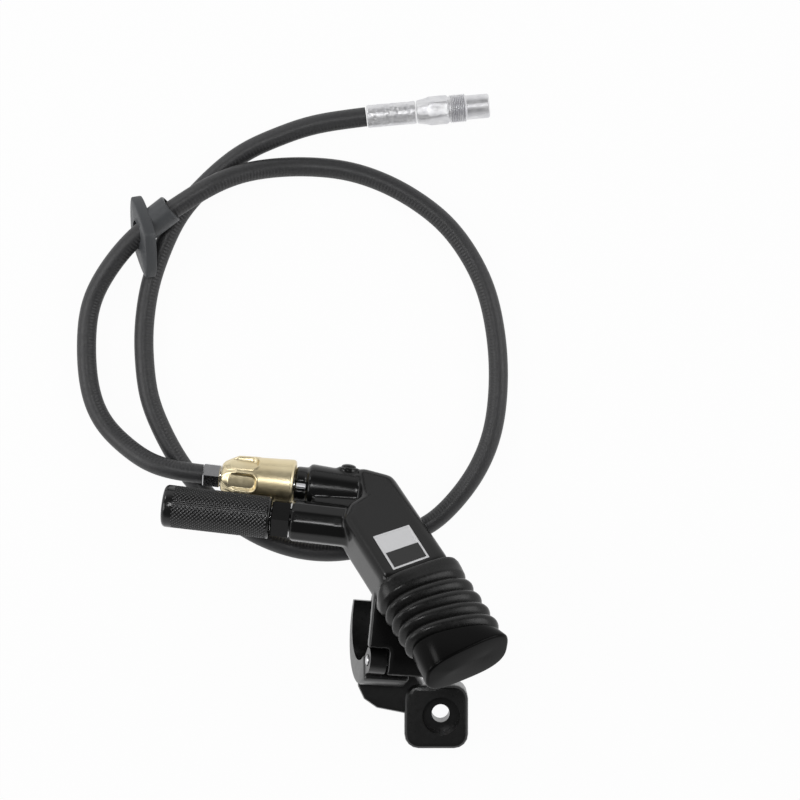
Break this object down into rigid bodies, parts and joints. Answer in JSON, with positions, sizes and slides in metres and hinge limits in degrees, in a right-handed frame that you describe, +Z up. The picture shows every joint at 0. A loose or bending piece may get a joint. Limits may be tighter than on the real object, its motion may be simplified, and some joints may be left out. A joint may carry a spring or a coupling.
{
  "type": "fork lockout lever",
  "caption": "Hydraulic push-button remote for a fork lockout, with a gold gate knob, knurled adjuster, hinged handlebar clamp with accessory ear, and a coiled hose with its end fitting.",
  "frame": {"origin": "middle of the lever's own box, at the height of the table that it lies on; the hose is left out of that box", "axes": "+Z up from the table; +X to the right along the table as the lever is seen from above, with the button at its lower right; +Y away from the clamp's ear towards the port"},
  "size_m": [0.1115, 0.1675, 0.0521],
  "materials": {
    "body_black": "gloss",
    "clamp_black": "satin",
    "grip_black": "anodised satin",
    "knob_gold": "anodised satin",
    "steel": "bright",
    "fitting_silver": "satin",
    "boot_rubber": "semi-gloss",
    "hose_black": "matte",
    "button_black": "gloss",
    "seal_rubber": "matte",
    "brass": "bright"
  },
  "bodies": {
    "lever": {"lever_body": "body_black", "bleed_screw": "grip_black", "gate_stem": "steel", "stem_o_ring": "seal_rubber", "hose_nut": "steel", "hose_barb": "brass", "detent_plunger": "steel", "adjuster_neck": "grip_black", "rod_guide": "grip_black", "hinge_pin": "steel", "bellows_boot": "boot_rubber", "return_spring": "steel", "hose": "hose_black", "hose_guide": "hose_black", "end_sleeve": "fitting_silver", "end_coupling": "fitting_silver"},
    "gate": {"gate_knob": "knob_gold"},
    "adjuster": {"adjuster_grip": "grip_black", "adjuster_spindle": "steel"},
    "button": {"button_cap": "button_black", "push_rod": "steel", "master_piston": "fitting_silver", "piston_seal": "seal_rubber"},
    "strap": {"clamp_strap": "clamp_black", "clamp_bolt": "grip_black"}
  },
  "joints": [
    {"name": "gate_turn", "type": "hinge", "parent": "lever", "child": "gate", "pos_m": [0.00617, 0.02786, 0.00862], "axis": [0.9932, -0.1132, 0.0262], "range_deg": [0, 270]},
    {"name": "adjuster_turn", "type": "hinge", "parent": "lever", "child": "adjuster", "pos_m": [0.00498, 0.01946, 0.01725], "axis": [0.9932, -0.1132, 0.0262], "range_deg": [-180, 180]},
    {"name": "button_push", "type": "slide", "parent": "lever", "child": "button", "axis": [-0.4527, 0.6459, -0.6148], "range_m": [0, 0.006], "stiffness_N_per_m": 1500, "springref_m": -0.002, "deforming": ["bellows_boot", "return_spring"]},
    {"name": "strap_open", "type": "hinge", "parent": "lever", "child": "strap", "pos_m": [0.0089, -0.01287, 0.02571], "axis": [-0.9699, 0.0934, 0.225], "range_deg": [0, 50]}
  ]
}
